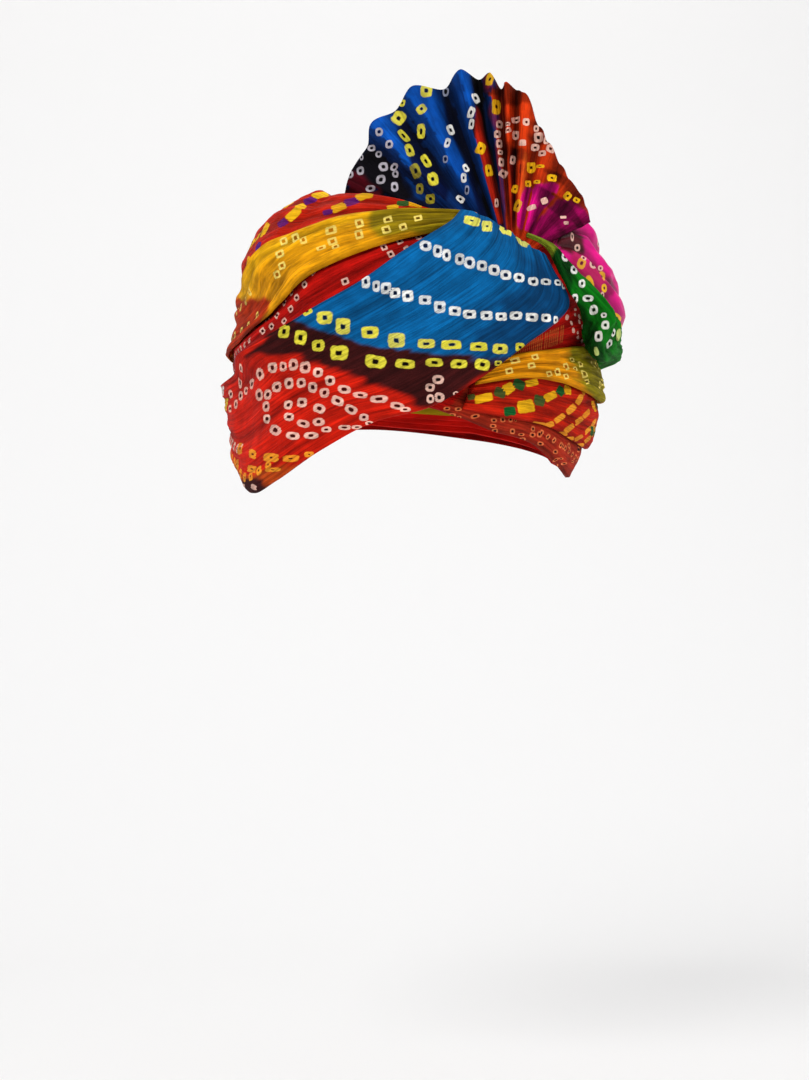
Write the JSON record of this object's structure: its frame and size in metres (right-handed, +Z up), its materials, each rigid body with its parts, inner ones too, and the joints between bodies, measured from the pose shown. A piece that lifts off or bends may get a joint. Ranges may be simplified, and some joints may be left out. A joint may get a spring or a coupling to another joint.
{
  "type": "tied turban",
  "caption": "Tied turban wound from one long tie-dyed cloth, with a broad front wrap, crossing side wraps, a twisted side roll and a standing pleated fan.",
  "frame": {"origin": "centre of the head opening, level with the front edge over the forehead", "axes": "+Z up along the wearer's head, -Y the front, +X the wearer's left, the side with the roll"},
  "size_m": [0.242, 0.2713, 0.2496],
  "materials": {
    "crown_cloth": "light crinkled cotton and silk, tie-dyed",
    "under_wrap_1": "light crinkled cotton and silk, tie-dyed",
    "under_wrap_2": "light crinkled cotton and silk, tie-dyed",
    "under_wrap_3": "light crinkled cotton and silk, tie-dyed",
    "top_wrap": "light crinkled cotton and silk, tie-dyed",
    "rim_wrap": "light crinkled cotton and silk, tie-dyed",
    "dotted_wrap": "light crinkled cotton and silk, tie-dyed",
    "checked_wrap": "light crinkled cotton and silk, tie-dyed",
    "yellow_wrap": "light crinkled cotton and silk, tie-dyed",
    "blue_wrap": "light crinkled cotton and silk, tie-dyed",
    "side_drape": "light crinkled cotton and silk, tie-dyed",
    "pleated_fan": "light crinkled cotton and silk, tie-dyed",
    "green_roll": "light crinkled cotton and silk, tie-dyed"
  },
  "bodies": {
    "root": {"crown_cloth": "crown_cloth", "under_wrap_1": "under_wrap_1", "under_wrap_2": "under_wrap_2", "under_wrap_3": "under_wrap_3", "top_wrap": "top_wrap", "rim_wrap": "rim_wrap", "dotted_wrap": "dotted_wrap", "checked_wrap": "checked_wrap", "yellow_wrap": "yellow_wrap", "blue_wrap": "blue_wrap", "side_drape": "side_drape", "pleated_fan": "pleated_fan", "green_roll": "green_roll"}
  },
  "joints": []
}
